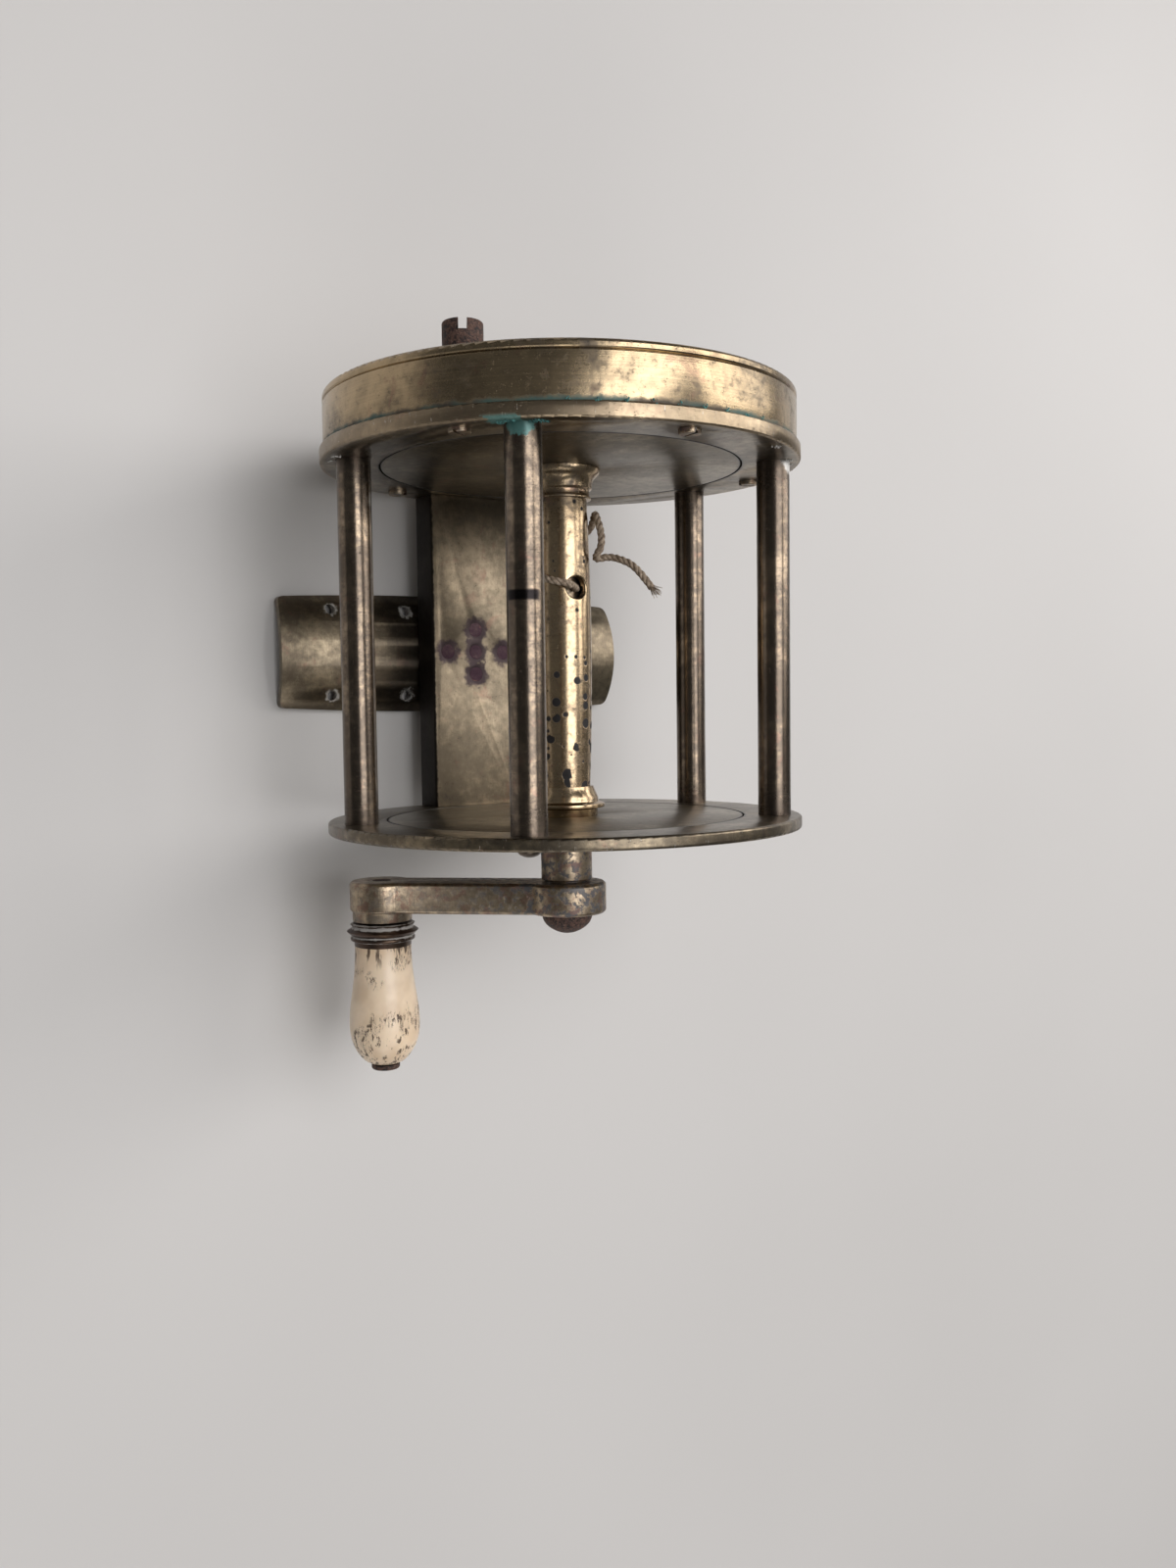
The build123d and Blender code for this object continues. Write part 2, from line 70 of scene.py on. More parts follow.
BODY_OF = {node: body for body, nodes in frame["record"]["behaviour"]["bodies"].items() for node in nodes}
print("parts in the frame:", len(frame["nodes"]))

# %% [markdown]
# ## Where the viewer stands
#
# The reel stands on its foot and is seen from above and from the left, with
# the spindle pointing up the picture. A camera is easiest to aim with three
# turns: about the spindle, then two small tilts.

# %% Camera
tilt = (
    Matrix.Rotation(math.radians(0.768), 3, "Z")
    @ Matrix.Rotation(math.radians(3.355), 3, "X")
    @ Matrix.Rotation(math.radians(32.454), 3, "Y")
)
aim = tilt.transposed()
distance = Vector((-4.01, 25.094, -209.302)) * MM
camera = bpy.data.objects.new("camera", bpy.data.cameras.new("camera"))
camera.data.lens = 29.72
camera.data.sensor_width = 36
camera.data.clip_start = 0.01
camera.matrix_world = Matrix.Translation(Vector((0, 2.42 * MM, SPINDLE_HEIGHT)) - aim @ distance) @ aim.to_4x4()
bpy.context.scene.collection.objects.link(camera)
bpy.context.scene.camera = camera
print("camera at", [round(v, 4) for v in camera.matrix_world.translation])

# %% [markdown]
# ## Maths for materials
#
# A material is easier to read as a formula than as a web of nodes. `Wire`
# wraps one output, so that `a * 2 + b` adds Math nodes, and `Finish` is one
# material being written.

# %% Wire and Finish
class Wire:
    """One output in a material. Sums and products of wires and numbers add Math nodes."""

    def __init__(self, finish, socket):
        self.finish, self.socket = finish, socket

    def math(self, operation, a, b):
        return self.finish.node("Math", {"operation": operation}, a, b)

    def __add__(self, other):
        return self.math("ADD", self, other)

    def __sub__(self, other):
        return self.math("SUBTRACT", self, other)

    def __rsub__(self, other):
        return self.math("SUBTRACT", other, self)

    def __mul__(self, other):
        return self.math("MULTIPLY", self, other)

    __radd__ = __add__
    __rmul__ = __mul__


class Finish:
    """One material. node() adds any node and returns its output as a Wire."""

    def __init__(self, name):
        self.material = bpy.data.materials.new(name)
        self.material.use_nodes = True
        self.tree = self.material.node_tree
        self.shader = self.tree.nodes["Principled BSDF"]
        coordinates = self.tree.nodes.new("ShaderNodeTexCoord")
        self.place = Wire(self, coordinates.outputs["Object"])
        split = self.node("SeparateXYZ", {}, self.place, out=None)
        self.x, self.y, height = (Wire(self, s) for s in split.outputs)
        self.z = height - SPINDLE_HEIGHT

    def feed(self, socket, value):
        if isinstance(value, Wire):
            self.tree.links.new(value.socket, socket)
        elif value is not None:
            socket.default_value = value

    def node(self, kind, settings, *values, out=0, **named):
        made = self.tree.nodes.new("ShaderNode" + kind)
        for key, setting in settings.items():
            setattr(made, key, setting)
        for socket, value in zip(made.inputs, values):
            self.feed(socket, value)
        for key, value in named.items():
            self.feed(made.inputs[key.replace("_", " ")], value)
        return made if out is None else Wire(self, made.outputs[out])

    def stretch(self, scale):
        """The place, stretched by a different amount along each axis."""
        return self.node("Mapping", {}, self.place, Scale=scale)

    def noise(self, per_mm, detail=3.0, rough=0.5, place=None, warp=0.0):
        """Soft noise with about per_mm spots in a millimetre."""
        return self.node("TexNoise", {}, Vector=place or self.place, Scale=per_mm / MM, Detail=detail,
                         Roughness=rough, Distortion=warp)

    def between(self, value, low, high):
        """0 below low, 1 above high, with a smooth step between. It falls if low is above high."""
        return self.node("MapRange", {"interpolation_type": "SMOOTHSTEP"}, value, low, high, 0.0, 1.0)

    def absolute(self, value):
        return self.node("Math", {"operation": "ABSOLUTE"}, value)

    def distance(self, point):
        """How far the surface is from a point."""
        return self.node("VectorMath", {"operation": "DISTANCE"}, self.place, tuple(point), out="Value")

    def off_axis(self, x=0.0, z=0.0):
        """How far the surface is from an axis along Y."""
        flat = self.node("CombineXYZ", {}, self.x - x, 0.0, self.z - z)
        return self.node("VectorMath", {"operation": "LENGTH"}, flat, out="Value")

    def blend(self, mask, below, above):
        """The colour below where the mask is 0 and above where it is 1."""
        made = self.tree.nodes.new("ShaderNodeMix")
        made.data_type = "RGBA"
        for index, value in ((0, mask), (6, below), (7, above)):
            self.feed(made.inputs[index], value if isinstance(value, Wire) or index == 0 else (*value, 1))
        return Wire(self, made.outputs[2])

    def bump(self, height, depth_mm, strength=1.0):
        """Height 0 to 1 as relief that deep."""
        normal = self.node("Bump", {}, strength, Height=height, Distance=depth_mm * MM)
        self.feed(self.shader.inputs["Normal"], normal)

    def surface(self, colour, roughness, metallic):
        for key, value in (("Base Color", colour), ("Roughness", roughness), ("Metallic", metallic)):
            self.feed(self.shader.inputs[key], value)
        return self.material


print("material maths ready")

# %% [markdown]
# ## Old brass
#
# Polished brass goes brown, then nearly black where no hand rubs it. Three
# noises of different size do this: clouds a centimetre wide, mottling of a
# millimetre or two, and fine scratches. On turned parts the scratches follow
# the lathe, so they are stretched round the spindle by making them depend only
# on the distance from it and on the place along it.

# %% Brass colours
GOLD = (0.44, 0.335, 0.22)
OLIVE = (0.185, 0.15, 0.105)
COPPER = (0.24, 0.13, 0.10)
BROWN = (0.052, 0.042, 0.036)
SOOT = (0.016, 0.014, 0.014)
VERDIGRIS = (0.05, 0.19, 0.18)
CHALK = (0.62, 0.61, 0.58)
PLUM = (0.045, 0.026, 0.034)


def brass(name, bright=GOLD, dull=OLIVE, dirt=0.45, lathe=0.5, rough=0.34, axis=(0.0, 0.0),
          round_share=1.0, mottling=0.5, depth=0.035, extra=None):
    """Aged brass. dirt is the share that is brown, lathe the share of the scratches that are turned,
    and round_share how far those change with the distance from the axis, as on a flat face."""
    f = Finish(name)
    clouds = f.noise(0.09, 4.0, 0.6, warp=0.4)
    mottle = f.noise(0.7, 6.0, 0.65)
    grain = f.noise(4.0, 4.0, 0.7)
    turned = f.node("CombineXYZ", {}, f.off_axis(*axis) * round_share, f.y, 0.0)
    rings = f.noise(3.2, 3.0, 0.75, turned)
    hairs = f.noise(1.0, 5.0, 0.8, f.stretch((6.0, 0.5, 5.0)))
    marks = rings * lathe + hairs * (1 - lathe)
    wear = clouds * (1.1 - mottling) + mottle * mottling + marks * 0.25
    worn = f.between(wear, 0.42 + 0.3 * dirt, 0.72 + 0.3 * dirt)
    stain = f.between(clouds * 0.5 + mottle * 0.5, 0.62 - 0.35 * dirt, 0.36 - 0.2 * dirt)
    colour = f.blend(worn, dull, bright)
    colour = f.blend(stain * 0.85, colour, BROWN)
    blush = f.between(f.noise(0.22, 4.0, 0.7, warp=0.6), 0.56, 0.70)
    colour = f.blend(blush * 0.45, colour, COPPER)
    askew = f.node("Mapping", {}, f.place, Rotation=(0.3, 0.2, 0.5), Scale=(1.0, 5.0, 1.0))
    nicks = f.between(f.noise(1.6, 2.0, 0.5, askew), 0.70, 0.74)
    colour = f.blend(nicks * 0.75, colour, SOOT)
    specks = f.between(grain * 0.6 + mottle * 0.4, 0.40, 0.33)
    colour = f.blend(specks * 0.7, colour, SOOT)
    roughness = rough + 0.22 * stain + 0.16 * (marks - 0.5) + 0.10 * specks - 0.06 * worn
    metallic = 1.0 - 0.45 * stain
    relief = marks * 0.45 + grain * 0.25 + mottle * 0.4 - specks * 0.5 - nicks * 0.7
    if extra:
        colour, roughness, metallic, relief = extra(f, colour, roughness, metallic, relief)
    f.bump(relief, depth)
    return f.surface(colour, roughness, metallic)


def at_angle(degrees, radius, y):
    """A point round the spindle, with the angle counted from straight up towards +X. Sizes in mm."""
    a = math.radians(degrees)
    return Vector((radius * math.sin(a), y, 38.1 + radius * math.cos(a))) * MM


# %% [markdown]
# ## What time left on each piece, and painted shade
#
# Verdigris grows where the case meets the back plate, a white crust round the
# pillar ends, casting pits show on the arbor, and the five foot rivets are
# bruised plum. The block's left side and the middle of the foot are painted darker, partly for dirt and partly as
# painted shade, and the gap round the spool's end disc carries painted shade. Each is a mask made from distances,
# broken up by noise.

# %% Marks on single pieces
LEFT_HIGH, RIGHT_HIGH = -40.1, 51.1  # degrees
PILLARS = {  # angle, and distance from the spindle in mm
    "left_low": (-103.4, 33.2),
    "left_high": (LEFT_HIGH, 33.7),
    "right_high": (RIGHT_HIGH, 33.7),
    "right_low": (105.6, 33.7),
}


def case_marks(f, colour, roughness, metallic, relief):
    """Verdigris in the seam, and dark dirt beside it."""
    ragged = f.noise(0.5, 5.0, 0.7)
    seam = f.between(f.y + (ragged - 0.5) * 1.6 * MM, 31.0 * MM, 30.2 * MM)
    green = seam * f.between(f.noise(0.12, 2.0), 0.46, 0.58)
    colour = f.blend(seam * 0.8, colour, SOOT)
    colour = f.blend(green * 0.45, colour, VERDIGRIS)
    roughness = roughness + seam * 0.3
    return colour, roughness, metallic * (1 - seam * 0.7), relief


def pitted(f, colour, roughness, metallic, relief):
    """Casting pits, closer together towards the crank."""
    cells = f.node("TexVoronoi", {}, Vector=f.place, Scale=0.62 / MM, Randomness=1.0, out="Distance")
    lot = f.node("TexVoronoi", {}, Vector=f.place, Scale=0.62 / MM, Randomness=1.0, out="Color")
    choice = f.node("SeparateColor", {}, lot)
    crowd = f.between(f.y, 6 * MM, -20 * MM)
    size = (0.16 + 0.30 * crowd) * f.between(choice, 0.55, 0.9) + crowd * 0.10
    pits = f.between(cells - size, 0.09, 0.0)
    colour = f.blend(pits, colour, SOOT)
    return colour, roughness + pits * 0.4, metallic * (1 - pits * 0.8), relief - pits * 1.5


def bruises_and_side_shade(f, colour, roughness, metallic, relief):
    """Plum stains over the five rivets of the foot, and the block's left side painted nearly black, partly for
    grime and partly as painted shade.
    """
    ragged = f.noise(0.9, 3.0, 0.6)
    stain = 0.0
    for x, y in ((0, 0), (-5.6, 0), (5.6, 0), (0, 4.0), (0, -4.0)):
        reach = f.distance((x * MM, y * MM, 7.6 * MM)) + (ragged - 0.5) * 2.6 * MM
        near = f.between(reach, 3.0 * MM, 1.6 * MM)
        stain = near + stain
    stain = f.between(stain, 0.0, 1.0) * 0.9
    # Painted shade, partly grime: left of x = -8 mm the block's side is painted nearly black.
    side_shade_and_grime = f.between(f.x + (ragged - 0.5) * 0.6 * MM, -8.0 * MM, -8.35 * MM) * 0.93
    colour = f.blend(side_shade_and_grime, f.blend(stain, colour, PLUM), SOOT)
    return colour, roughness + stain * 0.1 + side_shade_and_grime * 0.2, metallic * (1 - stain * 0.5), relief


def plate_marks(f, colour, roughness, metallic, relief):
    """Painted shade in the gap round the spool's end disc, scratches across the flats, and dark spots."""
    # Painted shade: a dark ring is painted in the gap round the spool's end disc.
    seam = f.between(f.absolute(f.off_axis() - 28.75 * MM), 0.55 * MM, 0.15 * MM)
    seam = seam * f.between(f.absolute(f.y), 29.4 * MM, 29.0 * MM)
    spots = f.between(f.noise(0.9, 4.0, 0.75), 0.66, 0.74)
    slant = f.node("Mapping", {}, f.place, Rotation=(0.0, 0.6, 0.0), Scale=(9.0, 1.0, 0.35))
    scratch = f.noise(0.8, 3.0, 0.6, slant)
    cut = f.between(scratch, 0.66, 0.70)
    rim = f.between(f.off_axis(), 37.2 * MM, 37.6 * MM) * f.between(f.y, 0.0, 1.0 * MM)
    colour = f.blend(rim * 0.4, colour, GOLD)
    colour = f.blend(cut * 0.5, f.blend(seam * 0.9 + spots * 0.6, colour, SOOT), CHALK)
    ragged = f.noise(0.6, 4.0, 0.7)
    green = f.between(f.distance(at_angle(-43.5, 37.6, 27.9)) + (ragged - 0.5) * 7 * MM, 2.6 * MM, 2.0 * MM)
    low_edge = f.between(f.y, 28.7 * MM, 28.1 * MM)
    colour = f.blend(green * low_edge * 0.8, colour, VERDIGRIS)
    metallic = metallic * (1 - seam) * (1 - green * low_edge * 0.8)
    return colour, roughness + spots * 0.2, metallic, relief - cut * 0.6


def foot_marks(f, colour, roughness, metallic, relief):
    """Painted shade, partly dirt, on the middle of the foot by the block, and white rings round the screw holes."""
    ragged = f.noise(1.4, 3.0, 0.7)
    # Painted shade, partly dirt: the foot is painted darker towards the block in its middle.
    shaded = f.between(f.absolute(f.x) + (f.noise(0.3, 3.0) - 0.5) * 6 * MM, 19 * MM, 11 * MM)
    colour = f.blend(shaded * 0.7, colour, SOOT)
    for x in (-24.6, -10.2, 10.2, 24.6):
        for y in (-7.6, 7.6):
            z = math.sqrt(16.5**2 - y * y) - 15
            reach = f.distance((x * MM, y * MM, z * MM)) + (ragged - 0.5) * 2.4 * MM
            near = f.between(reach, 1.5 * MM, 0.9 * MM)
            colour = f.blend(near * 0.55, colour, CHALK)
            metallic = metallic * (1 - near * 0.8)
    return colour, roughness, metallic, relief


def pillar_marks(f, colour, roughness, metallic, relief):
    """A dark band on one pillar, green and white ends."""
    band = f.between(f.distance(at_angle(LEFT_HIGH, 36.0, 4.9)), 2.8 * MM, 2.0 * MM)
    narrow = f.between(f.absolute(f.y - 4.9 * MM), 0.9 * MM, 0.5 * MM)
    colour = f.blend(band * narrow, colour, SOOT)
    ragged = f.noise(0.6, 4.0, 0.7)
    ends = f.between(f.absolute(f.y) + (ragged - 0.5) * 9 * MM, 21 * MM, 29 * MM)
    colour = f.blend(ends * 0.6, colour, BROWN)
    reach = f.distance(at_angle(LEFT_HIGH, 36.0, 28.0)) + (ragged - 0.5) * 4 * MM
    green = f.between(reach, 2.3 * MM, 1.9 * MM) * 0.7
    white = f.between(f.distance(at_angle(RIGHT_HIGH, 36.0, 28.0)) + (ragged - 0.5) * 3 * MM, 3.0 * MM, 1.6 * MM)
    chalk = f.between(f.distance(at_angle(-101.0, 30.8, 21.5)) + (ragged - 0.5) * 2 * MM, 1.6 * MM, 0.7 * MM)
    colour = f.blend(chalk * 0.6, colour, CHALK)
    colour = f.blend(green, colour, VERDIGRIS)
    colour = f.blend(white, colour, CHALK)
    return colour, roughness + ends * 0.12, metallic * (1 - green) * (1 - white), relief


def crank_marks(f, colour, roughness, metallic, relief):
    """Blue-grey and rusty stains, mostly towards the hub."""
    towards_hub = f.between(f.x, -20 * MM, -6 * MM)
    blue = f.between(f.noise(0.8, 5.0, 0.7), 0.49, 0.55) * (0.35 + 0.65 * towards_hub)
    rusty = f.between(f.noise(0.55, 5.0, 0.7, warp=0.5), 0.52, 0.60)
    colour = f.blend(blue * 0.75, colour, (0.06, 0.075, 0.10))
    colour = f.blend(rusty * 0.55, colour, COPPER)
    return colour, roughness + blue * 0.12, metallic * (1 - blue * 0.4), relief - blue * 0.4


print("marks ready")

# %% Brass materials
plate_brass = brass("plate brass", bright=(0.34, 0.275, 0.185), dull=(0.13, 0.108, 0.08), dirt=0.6,
                    lathe=0.6, rough=0.33, extra=plate_marks)
case_brass = brass("case brass", bright=(0.46, 0.35, 0.215), dull=(0.21, 0.163, 0.105), dirt=0.36,
                   lathe=0.85, rough=0.27, round_share=0.15, mottling=0.15, extra=case_marks)
pillar_brass = brass("pillar brass", bright=(0.34, 0.265, 0.19), dull=(0.115, 0.092, 0.072), dirt=0.62,
                     lathe=0.6, rough=0.22, round_share=0.15, extra=pillar_marks)
arbor_brass = brass("arbor brass", bright=(0.50, 0.375, 0.235), dull=(0.29, 0.22, 0.14), dirt=0.3,
                    lathe=0.7, rough=0.26, round_share=0.15, depth=0.02, extra=pitted)
collar_brass = brass("collar brass", bright=(0.50, 0.375, 0.235), dull=(0.29, 0.22, 0.14), dirt=0.3,
                     lathe=0.8, rough=0.24, round_share=0.15, depth=0.02)
spool_brass = brass("spool brass", bright=(0.30, 0.25, 0.17), dull=(0.13, 0.11, 0.08), dirt=0.6,
                    lathe=0.6, rough=0.34, extra=plate_marks)
block_brass = brass("block brass", bright=(0.34, 0.275, 0.19), dull=(0.18, 0.148, 0.105), dirt=0.55,
                    lathe=0.0, rough=0.38, extra=bruises_and_side_shade)
foot_brass = brass("foot brass", bright=(0.34, 0.28, 0.19), dull=(0.15, 0.122, 0.088), dirt=0.6,
                   lathe=0.0, rough=0.38, extra=foot_marks)
crank_brass = brass("crank brass", bright=(0.50, 0.40, 0.28), dull=(0.25, 0.20, 0.145), dirt=0.48,
                    lathe=0.1, rough=0.38, mottling=0.7, extra=crank_marks)
rivet_brass = brass("rivet brass", bright=(0.10, 0.07, 0.065), dull=PLUM, dirt=0.6, lathe=0.0, rough=0.42)

# %% [markdown]
# ## Iron, bone and dark turned brass
#
# The screws are iron and have rusted: brown crust over dark metal, with deep
# relief. Bone is pale, warm and faintly glossy. It cracks along its length,
# and dirt settles in the cracks, most of all near the tip.

# %% Iron, bone and ferrule
KNOB_X, KNOB_Z = -23.9 * MM, -20.055 * MM  # from the spindle


def iron():
    f = Finish("rusty iron")
    crust = f.noise(1.3, 6.0, 0.7)
    grain = f.noise(5.0, 3.0, 0.6)
    rust = f.between(crust * 0.7 + grain * 0.3, 0.42, 0.56)
    colour = f.blend(rust, (0.03, 0.025, 0.024), (0.105, 0.055, 0.04))
    colour = f.blend(f.between(grain, 0.58, 0.68) * rust, colour, (0.22, 0.14, 0.11))
    f.bump(crust * 0.8 + grain * 0.3, 0.22)
    return f.surface(colour, 0.5 + rust * 0.25, 0.75 - rust * 0.6)


def bone():
    f = Finish("old bone")
    clouds = f.noise(0.16, 3.0, 0.5)
    along = f.stretch((1.0, 0.2, 1.0))
    veins = f.noise(1.3, 5.0, 0.65, along, 0.5)
    ridge = f.absolute(veins - 0.5)
    tip = f.between(f.y, -60 * MM, -68 * MM)
    cracks = f.between(ridge, 0.014, 0.004) * f.between(f.noise(0.22, 2.0), 0.50, 0.58)
    crowd = f.between(tip * 0.30 + f.noise(0.22, 2.0), 0.50, 0.64)
    flecks = f.between(f.noise(1.3, 5.0, 0.7, f.stretch((1.0, 0.4, 1.0))), 0.54, 0.59) * crowd
    bruise = f.between(f.noise(0.5, 4.0, 0.7, along), 0.52, 0.60) * f.between(f.y, -54 * MM, -49.6 * MM)
    colour = f.blend(f.between(clouds, 0.35, 0.65), (0.72, 0.55, 0.38), (0.88, 0.71, 0.52))
    colour = f.blend(f.between(f.y, -53 * MM, -49.4 * MM) * 0.5, colour, (0.60, 0.42, 0.26))
    dirt = f.between(cracks + flecks + bruise, 0.0, 1.0)
    colour = f.blend(dirt * 0.92, colour, (0.075, 0.045, 0.028))
    f.shader.inputs["Subsurface Weight"].default_value = 0.12
    f.shader.inputs["Subsurface Radius"].default_value = (0.0016, 0.0010, 0.0006)
    f.shader.inputs["Coat Weight"].default_value = 0.25
    f.shader.inputs["Coat Roughness"].default_value = 0.25
    f.bump(veins * 0.15 - dirt * 0.8 + clouds * 0.3, 0.06)
    return f.surface(colour, 0.36 + dirt * 0.35, 0.0)


def ferrule_marks(f, colour, roughness, metallic, relief):
    """White polish left in the grooves."""
    groove = f.absolute(f.off_axis(KNOB_X, KNOB_Z) - 5.05 * MM)
    white = f.between(groove + (f.noise(0.9, 3.0) - 0.5) * 0.7 * MM, 0.22 * MM, 0.05 * MM)
    return f.blend(white * 0.6, colour, CHALK), roughness + white * 0.3, metallic * (1 - white * 0.9), relief


rusty_iron = iron()
old_bone = bone()
ferrule_brass = brass("ferrule brass", bright=(0.16, 0.11, 0.075), dull=(0.075, 0.052, 0.042), dirt=0.6,
                      lathe=0.9, rough=0.34, axis=(KNOB_X, KNOB_Z), extra=ferrule_marks)
print("materials:", len(bpy.data.materials))

# %% [markdown]
# ## Shapes that repeat
#
# Geometry Nodes make what repeats: the four pillars, the strands of the twine
# and the crumbs of old dirt. `Shape` writes such a tree as `Finish` writes a
# material, and gives it named inputs, so that every size has a name.

# %% Shape, a Geometry Nodes tree with named inputs
def link(name, mesh):
    piece = bpy.data.objects.new(name, mesh)
    bpy.context.scene.collection.objects.link(piece)
    return piece


def settle(piece):
    """Makes the piece's modifiers part of its mesh."""
    mesh = bpy.data.meshes.new_from_object(piece.evaluated_get(bpy.context.evaluated_depsgraph_get()))
    piece.modifiers.clear()
    piece.data = mesh
    return mesh


class Shape:
    """A Geometry Nodes tree. Each input is a name with a number or a whole number."""

    def __init__(self, name, **inputs):
        self.tree = bpy.data.node_groups.new(name, "GeometryNodeTree")
        self.tree.interface.new_socket("Geometry", in_out="INPUT", socket_type="NodeSocketGeometry")
        self.tree.interface.new_socket("Geometry", in_out="OUTPUT", socket_type="NodeSocketGeometry")
        self.keys = {}
        for key, value in inputs.items():
            kind = "NodeSocketInt" if isinstance(value, int) else "NodeSocketFloat"
            self.keys[key] = (self.tree.interface.new_socket(key, in_out="INPUT", socket_type=kind), value)
        self.inlet = self.tree.nodes.new("NodeGroupInput")
        self.start = self.inlet.outputs[0]

    def size(self, key):
        return self.inlet.outputs[key]

    def node(self, kind, settings=None, out=0, **sockets):
        made = self.tree.nodes.new(kind)
        for key, setting in (settings or {}).items():
            setattr(made, key, setting)
        for key, value in sockets.items():
            socket = made.inputs[int(key[1:]) if key[0] == "_" else key.replace("_", " ")]
            if isinstance(value, bpy.types.NodeSocket):
                self.tree.links.new(value, socket)
            else:
                socket.default_value = value
        return made.outputs[out]

    def math(self, operation, a, b=0.0):
        return self.node("ShaderNodeMath", {"operation": operation}, _0=a, _1=b)

    def vector(self, operation, a, b=None, scale=None):
        extra = {} if b is None else {"_1": b}
        if scale is not None:
            extra["Scale"] = scale
        return self.node("ShaderNodeVectorMath", {"operation": operation}, _0=a, **extra)

    def grow(self, piece, geometry, material):
        """Ends the tree, runs it on the piece and makes the result a plain mesh."""
        real = self.node("GeometryNodeRealizeInstances", Geometry=geometry)
        painted = self.node("GeometryNodeSetMaterial", Geometry=real, Material=material)
        outlet = self.tree.nodes.new("NodeGroupOutput")
        self.tree.links.new(painted, outlet.inputs[0])
        modifier = piece.modifiers.new(self.tree.name, "NODES")
        modifier.node_group = self.tree
        for socket, value in self.keys.values():
            modifier[socket.identifier] = value
        mesh = settle(piece)
        mesh.shade_smooth()
        mesh.set_sharp_from_angle(angle=math.radians(40))
        print(piece.name, "has", len(mesh.polygons), "faces")
        return piece


# %% [markdown]
# ## Four pillars
#
# Each pillar is a drawn rod, a little uneven because it was cleaned up with a
# file, and riveted over at the front plate. One rod is shaped in the tree and
# an instance of it stands at each of four points.

# %% Pillars
def stand_pillars():
    dots = bpy.data.meshes.new("pillar points")
    dots.from_pydata([at_angle(angle, circle, 0.0) for angle, circle in PILLARS.values()], [], [])
    shape = Shape("pillars", Rod_radius=2.6 * MM, Rod_length=55.6 * MM, Head_radius=1.75 * MM, Head_rise=1.15 * MM,
                  Unevenness=0.07 * MM, Seed=4)
    rod = shape.node("GeometryNodeMeshCylinder", {"fill_type": "NGON"}, Vertices=48, Side_Segments=70,
                     Radius=shape.size("Rod_radius"), Depth=shape.size("Rod_length"))
    rod = shape.node("GeometryNodeTransform", Geometry=rod, Rotation=(math.radians(90), 0.0, 0.0))
    head = shape.node("GeometryNodeMeshUVSphere", Segments=24, Rings=12, Radius=1.0)
    flat = shape.node("ShaderNodeCombineXYZ", X=shape.size("Head_radius"), Y=shape.size("Head_rise"),
                      Z=shape.size("Head_radius"))
    head = shape.node("GeometryNodeTransform", Geometry=head, Translation=(0.0, -29.7 * MM, 0.0), Scale=flat)
    join = shape.tree.nodes.new("GeometryNodeJoinGeometry")
    for part in (head, rod):
        shape.tree.links.new(part, join.inputs[0])
    stood = shape.node("GeometryNodeInstanceOnPoints", Points=shape.start, Instance=join.outputs[0])
    stood = shape.node("GeometryNodeRealizeInstances", Geometry=stood)
    here = shape.node("GeometryNodeInputPosition")
    bumps = shape.node("ShaderNodeTexNoise", {"noise_dimensions": "4D"}, Vector=here, W=shape.size("Seed"),
                       Scale=130.0, Detail=2.0)
    push = shape.math("MULTIPLY", shape.math("SUBTRACT", bumps, 0.6), shape.size("Unevenness"))
    shift = shape.vector("SCALE", shape.node("GeometryNodeInputNormal"), scale=push)
    uneven = shape.node("GeometryNodeSetPosition", Geometry=stood, Offset=shift)
    pillars = shape.grow(link("pillars", dots), uneven, pillar_brass)
    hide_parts(*(f"pillar_{name}" for name in PILLARS))
    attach(pillars, "frame")


stand_pillars()

# %% [markdown]
# ## The scrap of twine
#
# A knot inside the arbor holds the twine. It leaves the hole, goes most of the
# way round, and its loose end curls away, frayed. The line is one smooth
# spline through the air; three strands are wound round it and fine hairs stand
# off them.

# %% Twine
TWINE = [
    (0.6, 8.6, 3.1), (-1.5, 9.1, 5.5), (-4.4, 9.7, 3.7), (-5.75, 11.0, -0.3), (-3.9, 12.7, -4.2),
    (0.1, 14.6, -5.75), (4.05, 16.6, -4.1), (5.75, 18.6, -0.2), (5.12, 20.9, 1.83), (4.24, 20.3, 3.77),
    (4.54, 17.3, 4.79), (4.46, 15.2, 4.73), (3.91, 13.9, 3.91), (5.02, 13.5, 2.36), (6.73, 14.0, 3.21),
    (7.94, 13.4, 5.41), (9.59, 12.0, 7.29), (11.26, 8.7, 8.95),
]


def twine_line():
    """The twine's line as a smooth spline, and the points that it passes."""
    data = bpy.data.curves.new("twine line", "CURVE")
    data.dimensions = "3D"
    data.resolution_u = 24
    spline = data.splines.new("NURBS")
    spline.points.add(len(TWINE) - 1)
    for point, (x, y, up) in zip(spline.points, TWINE):
        point.co = (x * MM, y * MM, SPINDLE_HEIGHT + up * MM, 1)
    spline.order_u = 3
    spline.use_endpoint_u = True
    line = link("twine line", data)
    mesh = bpy.data.meshes.new_from_object(line.evaluated_get(bpy.context.evaluated_depsgraph_get()))
    return line, [v.co.copy() for v in mesh.vertices]


def fibre():
    f = Finish("linen")
    shade = f.noise(1.5, 3.0, 0.6)
    fine = f.noise(7.0, 3.0, 0.6)
    colour = f.blend(f.between(shade, 0.35, 0.65), (0.20, 0.145, 0.10), (0.44, 0.35, 0.26))
    colour = f.blend(f.between(fine, 0.55, 0.7) * 0.5, colour, (0.10, 0.07, 0.05))
    f.bump(fine, 0.06)
    return f.surface(colour, 0.85, 0.0)


